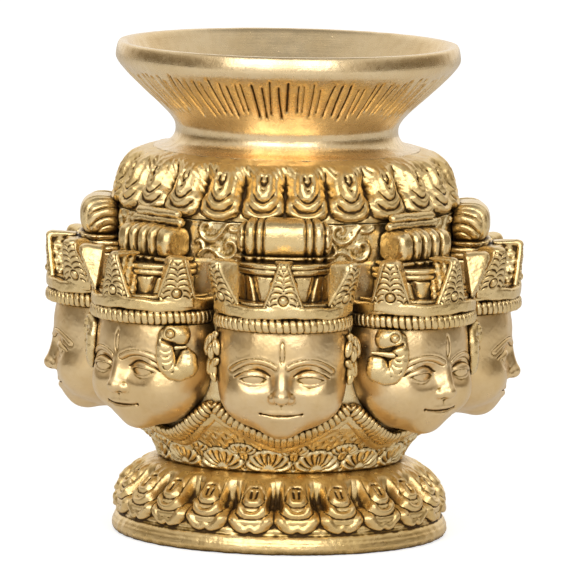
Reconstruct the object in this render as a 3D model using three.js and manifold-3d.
// Brass kalash: a footed puja pot with a flared mouth, ringed by eight crowned masks.
// Millimetres, +Z up. The origin is on the pot's axis, in the plane that the foot rests on.
// The pot is four turned castings, stacked on spigots, and the ornaments brazed round them.
// Every ornament is modelled at the front of the pot, facing -Y, and then turned into its place.
import * as THREE from "three";
import { ConvexGeometry } from "three/addons/geometries/ConvexGeometry.js";
import { mergeVertices } from "three/addons/utils/BufferGeometryUtils.js";
import Module from "manifold-3d";

const wasm = await Module();
wasm.setup();

// ---------- driving dimensions ----------
const HEIGHT = 127;
const GAP = 0.3; // braze gap between neighbouring castings
const MASKS = 8;
const SHOULDER_PETALS = 24;
const FOOT_PETALS = 22;

const LIP_RADIUS = 44.4;
const LIP_FLAT = 2.2; // width of the flat ring on top of the lip
const NECK_RADIUS = 28.6;
const NECK_BORE = 25.3;
const NECK_BASE_Z = 100.3;
const SHOULDER_RADIUS = 44.2;
const SHOULDER_TOP_Z = 100;
const SHOULDER_BASE_Z = 85;
const PETAL_SWELL = 0.6; // how far the petals stand out from the shoulder
const BELLY_RADIUS = 44;
const BELLY_WALL = 3.4;
const BELLY_BASE_Z = 19.6;
const LAP_RADIUS = 42.1; // the shoulder's lap, which drops inside the belly's rim
const LAP_DEPTH = 2;
const FOOT_RADIUS = 43.4;
const SPIGOT_RADIUS = 28;
const SPIGOT_DEPTH = 3;

const MASK_TOP_Z = 59;
const MASK_WIDTH = 17.4; // half width
const MASK_DEPTH = 15.2;
const MASK_CENTRE = new THREE.Vector3(0, -44, 48.5);
const BAND_HALF_WIDTH = 17.4;
const BAND_DEPTH = 15.3;
const BAND_CENTRE_Y = -46.1;
const BAND_BASE_Z = MASK_TOP_Z + GAP;
const BAND_TOP_Z = 65.6;
const LEAF_HEIGHT = 12;
const SIDE_LEAF_PLACE = THREE.MathUtils.degToRad(62); // how far round the band a side leaf stands
const SIDE_LEAF_FACING = THREE.MathUtils.degToRad(50);
const SIDE_LEAF_LEAN = 4.2; // how far out of upright a side leaf's tip stands
const TALL_CROWN_Z = 76;
const LOW_CROWN_Z = 74;
const LARGE_KNOT = { halfLength: 10.7, radius: 5.3, y: -48, z: 81.7 };
const SMALL_KNOT = { halfLength: 8.6, radius: 4.5, y: -46.6, z: 78.9 };
const GARLAND = {
  reach: THREE.MathUtils.degToRad(20.6), // how far round the pot it runs, each way from the chin
  lowest: 28.4,
  rise: 9,
  radius: 1.6,
  standOff: 0.75,
};

const PLAIN_SEGMENTS = 40;
const POINTS_PER_PETAL = 2;

// ---------- solids ----------
function toSolid(geometry) {
  const bare = geometry.index ? geometry.toNonIndexed() : geometry.clone();
  bare.deleteAttribute("normal");
  bare.deleteAttribute("uv");
  const merged = mergeVertices(bare, 1e-4);
  return new wasm.Manifold(
    new wasm.Mesh({
      numProp: 3,
      vertProperties: merged.attributes.position.array,
      triVerts: new Uint32Array(merged.index.array),
    }),
  );
}

function toGeometry(solid) {
  const mesh = solid.getMesh();
  const geometry = new THREE.BufferGeometry();
  geometry.setAttribute("position", new THREE.BufferAttribute(new Float32Array(mesh.vertProperties), 3));
  geometry.setIndex(new THREE.BufferAttribute(new Uint32Array(mesh.triVerts), 1));
  return geometry.toNonIndexed();
}

// A turned solid from a closed profile of [radius, height], the outside listed upwards.
// Each lifted profile row swells in and out round the pot by its third number, once for each petal.
function turned(profile, segments = PLAIN_SEGMENTS, petals = 0) {
  const rows = [...profile, profile[0]];
  const geometry = new THREE.LatheGeometry(
    rows.map(([radius, z]) => new THREE.Vector2(radius, z)),
    segments,
  );
  const position = geometry.attributes.position;
  for (let i = 0; petals && i < position.count; i++) {
    const lift = rows[i % rows.length][2] || 0;
    const x = position.getX(i);
    const z = position.getZ(i);
    const swell = 1 + (lift * Math.cos(petals * Math.atan2(x, z))) / Math.hypot(x, z);
    position.setXYZ(i, x * swell, position.getY(i), z * swell);
  }
  return geometry.rotateX(Math.PI / 2);
}

function cylinderSolid(radius, low, high, segments = PLAIN_SEGMENTS) {
  const geometry = new THREE.CylinderGeometry(radius, radius, high - low, segments);
  return toSolid(geometry.rotateX(Math.PI / 2).translate(0, 0, (low + high) / 2));
}

function ellipsoid(halfSizes, centre, columns = 8, rows = 5) {
  const geometry = new THREE.SphereGeometry(1, columns, rows).rotateX(Math.PI / 2);
  return toSolid(geometry.scale(...halfSizes).translate(...centre));
}

function ellipticDrum(halfWidth, halfDepth, centreY, low, high, segments = 24) {
  const geometry = new THREE.CylinderGeometry(1, 1, high - low, segments).rotateX(Math.PI / 2);
  return toSolid(geometry.scale(halfWidth, halfDepth, 1).translate(0, centreY, (low + high) / 2));
}

// A round bar of the given radius that follows a smooth curve through the points.
function bar(points, radius, steps, sides = 6) {
  const section = new THREE.Shape();
  for (let i = 0; i < sides; i++) {
    const angle = (2 * Math.PI * i) / sides;
    const move = i ? "lineTo" : "moveTo";
    section[move](radius * Math.cos(angle), radius * Math.sin(angle));
  }
  section.closePath();
  const path = new THREE.CatmullRomCurve3(points.map((p) => new THREE.Vector3(...p)));
  return toSolid(new THREE.ExtrudeGeometry(section, { steps, extrudePath: path, bevelEnabled: false }));
}

// ---------- the four turned castings ----------
function mouthAndNeck() {
  const spigotBase = SHOULDER_TOP_Z - SPIGOT_DEPTH;
  const lipInside = LIP_RADIUS - 0.4 - LIP_FLAT;
  return turned([
    [SPIGOT_RADIUS, spigotBase],
    [SPIGOT_RADIUS, NECK_BASE_Z],
    [31.4, NECK_BASE_Z],
    [29.6, 101.9],
    [NECK_RADIUS, 104.2],
    [29.2, 106.7],
    [31.6, 109.7],
    [36.8, 114.4],
    [41.2, 118.6],
    [43.6, 121.7],
    [LIP_RADIUS, 123.4],
    [LIP_RADIUS, 126.2],
    [LIP_RADIUS - 0.4, HEIGHT],
    [lipInside, HEIGHT],
    [lipInside - 1.4, 124],
    [36.6, 118.4],
    [30.2, 112.2],
    [26.4, 107.4],
    [NECK_BORE, 103.4],
    [NECK_BORE, spigotBase],
  ]);
}

function shoulderDome() {
  const socket = SPIGOT_RADIUS + GAP;
  const inside = LAP_RADIUS - 1.7;
  return turned(
    [
      [SHOULDER_RADIUS, SHOULDER_BASE_Z],
      [SHOULDER_RADIUS, SHOULDER_BASE_Z + 2, 0.5],
      [SHOULDER_RADIUS - 0.3, 91, 0.6],
      [SHOULDER_RADIUS - 1.2, 94.2, 0.5],
      [41.2, 96.7, 0.4],
      [38.4, 98.5, 0.2],
      [34.6, 99.6],
      [31.6, SHOULDER_TOP_Z],
      [socket, SHOULDER_TOP_Z],
      [socket, SHOULDER_TOP_Z - SPIGOT_DEPTH - GAP],
      [36.5, 95],
      [inside, 90.5],
      [inside, SHOULDER_BASE_Z - LAP_DEPTH],
      [LAP_RADIUS, SHOULDER_BASE_Z - LAP_DEPTH],
      [LAP_RADIUS, SHOULDER_BASE_Z],
    ],
    SHOULDER_PETALS * POINTS_PER_PETAL,
    SHOULDER_PETALS,
  );
}

// Outer radius of the belly casting at height z: upright behind the masks and bowl-shaped below them.
const BOWL_OUTLINE = [
  [31.4, BELLY_BASE_Z],
  [31.9, 21.4],
  [33.2, 24],
  [35.8, 26.8],
  [38.8, 29.4],
  [41.8, 32.4],
  [43.5, 35.6],
  [BELLY_RADIUS, 39],
];

function bellyRadius(z) {
  const next = BOWL_OUTLINE.findIndex((row) => row[1] >= z);
  if (next < 0) return BELLY_RADIUS;
  if (next === 0) return BOWL_OUTLINE[0][0];
  const [r0, z0] = BOWL_OUTLINE[next - 1];
  const [r1, z1] = BOWL_OUTLINE[next];
  return r0 + ((r1 - r0) * (z - z0)) / (z1 - z0);
}

function bellyBowl() {
  const socket = LAP_RADIUS + GAP;
  const inside = BELLY_RADIUS - BELLY_WALL;
  const top = SHOULDER_BASE_Z - GAP;
  const socketFloor = top - LAP_DEPTH;
  return turned([
    ...BOWL_OUTLINE,
    [BELLY_RADIUS, top],
    [socket, top],
    [socket, socketFloor],
    [inside, socketFloor],
    [inside, 40],
    [inside - 2.8, 33.2],
    [inside - 8, 27.4],
    [27, 23.8],
    [0, 22.8],
    [0, BELLY_BASE_Z],
    [SPIGOT_RADIUS - 2.4, BELLY_BASE_Z],
    [SPIGOT_RADIUS - 2.4, BELLY_BASE_Z - SPIGOT_DEPTH],
    [SPIGOT_RADIUS, BELLY_BASE_Z - SPIGOT_DEPTH],
    [SPIGOT_RADIUS, BELLY_BASE_Z],
  ]);
}

function lotusFoot() {
  const socket = SPIGOT_RADIUS + GAP;
  const top = BELLY_BASE_Z - GAP;
  return turned(
    [
      [FOOT_RADIUS - 0.4, 0],
      [FOOT_RADIUS, 1.4],
      [FOOT_RADIUS - 0.3, 3.2],
      [42.1, 4.9],
      [42.4, 6, 0.3],
      [42.5, 8.6, 0.7],
      [41.6, 11.8, 0.8],
      [39.2, 14.8, 0.7],
      [35.4, 17.2, 0.4],
      [31.2, top],
      [socket, top],
      [socket, 13.5],
      [36, 9.5],
      [38.6, 4],
      [38.6, 0],
    ],
    FOOT_PETALS * POINTS_PER_PETAL,
    FOOT_PETALS,
  );
}

// ---------- the ornaments, at the front of the pot ----------
const DRUM_SEGMENTS = 48;
const bellyDrum = cylinderSolid(BELLY_RADIUS + GAP, 0, HEIGHT, DRUM_SEGMENTS);
const shoulderDrum = cylinderSolid(SHOULDER_RADIUS + PETAL_SWELL + GAP, 0, HEIGHT, DRUM_SEGMENTS);

// An egg-shaped head with a plain wedge of a nose, flat on top, where its crown sits.
// grow swells it, to cut clearance out of its neighbours.
function maskSolid(grow = 0) {
  const geometry = new THREE.SphereGeometry(1, 18, 12).rotateX(Math.PI / 2);
  const position = geometry.attributes.position;
  const crownHeight = 22;
  const chinDepth = 16.4;
  for (let i = 0; i < position.count; i++) {
    const up = position.getZ(i);
    const chin = Math.max(0, -up);
    const taper = 1 - 0.2 * chin * chin;
    position.setXYZ(
      i,
      position.getX(i) * (MASK_WIDTH + grow) * taper,
      position.getY(i) * (MASK_DEPTH + grow) * (1 + 0.06 * chin),
      up * ((up > 0 ? crownHeight : chinDepth) + grow),
    );
  }
  geometry.translate(MASK_CENTRE.x, MASK_CENTRE.y, MASK_CENTRE.z);
  const nose = new THREE.ConeGeometry(2.6 + grow, 11, 6)
    .rotateX(Math.PI / 2)
    .rotateX(-0.1)
    .translate(0, -58.6, 47.6);
  const top = cylinderSolid(HEIGHT, MASK_TOP_Z + grow, HEIGHT, 8);
  return toSolid(geometry).add(toSolid(nose)).subtract(top).subtract(bellyDrum);
}

const grownMask = maskSolid(GAP);

// A pointed crown leaf: thin at the foot and a wedge at the top. Its tip leans out from the head by lean.
function leafSolid(lean) {
  const points = [
    [-5.2, 0, 0],
    [5.2, 0, 0],
    [-4.8, 1.8, 0],
    [4.8, 1.8, 0],
    [-4.3, -0.2, 5],
    [4.3, -0.2, 5],
    [-2.6, 3.6, 5.5],
    [2.6, 3.6, 5.5],
    [-0.6, -0.4, LEAF_HEIGHT],
    [0.6, -0.4, LEAF_HEIGHT],
    [0, 6, LEAF_HEIGHT - 0.4],
  ];
  const leaning = points.map(([x, y, z]) => new THREE.Vector3(x, y - (lean * z) / LEAF_HEIGHT, z));
  return toSolid(new ConvexGeometry(leaning));
}

function crownSolid(bodyTop) {
  const band = ellipticDrum(BAND_HALF_WIDTH, BAND_DEPTH, BAND_CENTRE_Y, BAND_BASE_Z, BAND_TOP_Z);
  const body = ellipticDrum(12.4, 8.4, BAND_CENTRE_Y, BAND_TOP_Z - 1, bodyTop, 18);
  let crown = band.add(body);
  for (const side of [-1, 0, 1]) {
    const x = (BAND_HALF_WIDTH - 0.3) * Math.sin(side * SIDE_LEAF_PLACE);
    const y = BAND_CENTRE_Y - (BAND_DEPTH - 0.3) * Math.cos(side * SIDE_LEAF_PLACE);
    const facing = THREE.MathUtils.radToDeg(side * SIDE_LEAF_FACING);
    const leaf = leafSolid(Math.abs(side) * SIDE_LEAF_LEAN).rotate([0, 0, facing]);
    crown = crown.add(leaf.translate([x, y, BAND_TOP_Z - 0.5]));
  }
  return crown.subtract(bellyDrum);
}

// A short barrel lying across the top of a crown.
function barrelSolid({ halfLength, radius, y, z }) {
  const rings = [
    [0, -halfLength],
    [radius * 0.62, -halfLength],
    [radius * 0.88, -halfLength * 0.9],
    [radius * 0.98, -halfLength * 0.6],
    [radius, -halfLength * 0.2],
    [radius, halfLength * 0.2],
    [radius * 0.98, halfLength * 0.6],
    [radius * 0.88, halfLength * 0.9],
    [radius * 0.62, halfLength],
    [0, halfLength],
  ];
  const geometry = new THREE.LatheGeometry(
    rings.map(([r, x]) => new THREE.Vector2(r, x)),
    10,
  );
  return toSolid(geometry.rotateZ(-Math.PI / 2).translate(0, y, z));
}

function largeTopknot() {
  return barrelSolid(LARGE_KNOT).subtract(shoulderDrum);
}

// A smaller barrel, tied to the shoulder under two raised ridges.
function smallTopknot() {
  let knot = barrelSolid(SMALL_KNOT);
  for (const z of [84.2, 86.3]) {
    const ridge = new THREE.CylinderGeometry(1.1, 1.1, 15, 6).rotateZ(Math.PI / 2);
    knot = knot.add(toSolid(ridge.translate(0, -45.6, z)));
  }
  const tie = new THREE.BoxGeometry(13, 4, 5.5).translate(0, -45.8, 83.6);
  return knot.add(toSolid(tie)).subtract(shoulderDrum);
}

// A ribbed collar: it hangs in a U from beside one mask's jaw to the other side, lying on the bowl.
function garlandSolid() {
  const { reach, lowest, rise, radius, standOff } = GARLAND;
  const points = [];
  for (let s = -1; s <= 1; s += 0.25) {
    const z = lowest + rise * Math.abs(s) ** 1.7;
    const away = bellyRadius(z) + radius + standOff;
    points.push([away * Math.sin(s * reach), -away * Math.cos(s * reach), z]);
  }
  return bar(points, radius, 14).subtract(grownMask);
}

// An elephant's head in profile over the temple, its trunk hanging beside the eye and curling back and up.
function elephantSolid(side) {
  const head = ellipsoid([3.9, 3.4, 3.2], [side * 14.3, -51.6, 56]);
  const trunk = bar(
    [
      [side * 13.2, -55, 54.6],
      [side * 13, -55.2, 50.9],
      [side * 13.7, -54.5, 48.7],
      [side * 15.3, -52.9, 47.3],
      [side * 17.1, -51, 48.3],
      [side * 17.4, -50.7, 50.9],
    ],
    1.9,
    10,
    5,
  );
  const wall = cylinderSolid(HEIGHT, MASK_TOP_Z, HEIGHT, 8);
  return head.add(trunk).subtract(grownMask).subtract(wall).subtract(bellyDrum);
}

// A two-lobed drop hanging beside the cheek.
function earDropSolid(side) {
  const upper = ellipsoid([1.5, 2.2, 3.4], [side * 17.7, -48.4, 54.2], 6, 4);
  const lower = ellipsoid([1.4, 2, 3.2], [side * 17.7, -48, 48.8], 6, 4);
  return upper.add(lower).subtract(grownMask).subtract(bellyDrum);
}

// ---------- assembly ----------
function brass(color, roughness) {
  return new THREE.MeshStandardMaterial({ color, roughness, metalness: 1 });
}

const polished = brass(0xd6b270, 0.22);
const carved = brass(0xc09a50, 0.34);
const kalash = new THREE.Group();

function place(name, geometry, material, angle = 0) {
  const mesh = new THREE.Mesh(geometry, material);
  mesh.name = name;
  mesh.rotation.z = angle;
  kalash.add(mesh);
}

place("mouth_and_neck", mouthAndNeck(), polished);
place("shoulder_dome", shoulderDome(), carved);
place("belly_bowl", bellyBowl(), carved);
place("lotus_foot", lotusFoot(), carved);

const mask = toGeometry(maskSolid());
const garland = toGeometry(garlandSolid());
const styles = [
  {
    crown: toGeometry(crownSolid(TALL_CROWN_Z)),
    topknot: toGeometry(largeTopknot()),
    jewel: earDropSolid,
    jewelName: "ear_drop",
  },
  {
    crown: toGeometry(crownSolid(LOW_CROWN_Z)),
    topknot: toGeometry(smallTopknot()),
    jewel: elephantSolid,
    jewelName: "elephant",
  },
];

// Masks with ear drops and masks with elephants stand alternately round the pot.
for (let i = 0; i < MASKS; i++) {
  const angle = (2 * Math.PI * i) / MASKS;
  const style = styles[i % 2];
  const number = i + 1;
  place(`mask_${number}`, mask, polished, angle);
  place(`crown_${number}`, style.crown, carved, angle);
  place(`topknot_${number}`, style.topknot, carved, angle);
  place(`garland_${number}`, garland, carved, angle);
  place(`${style.jewelName}_left_${number}`, toGeometry(style.jewel(-1)), carved, angle);
  place(`${style.jewelName}_right_${number}`, toGeometry(style.jewel(1)), carved, angle);
}

export default kalash;
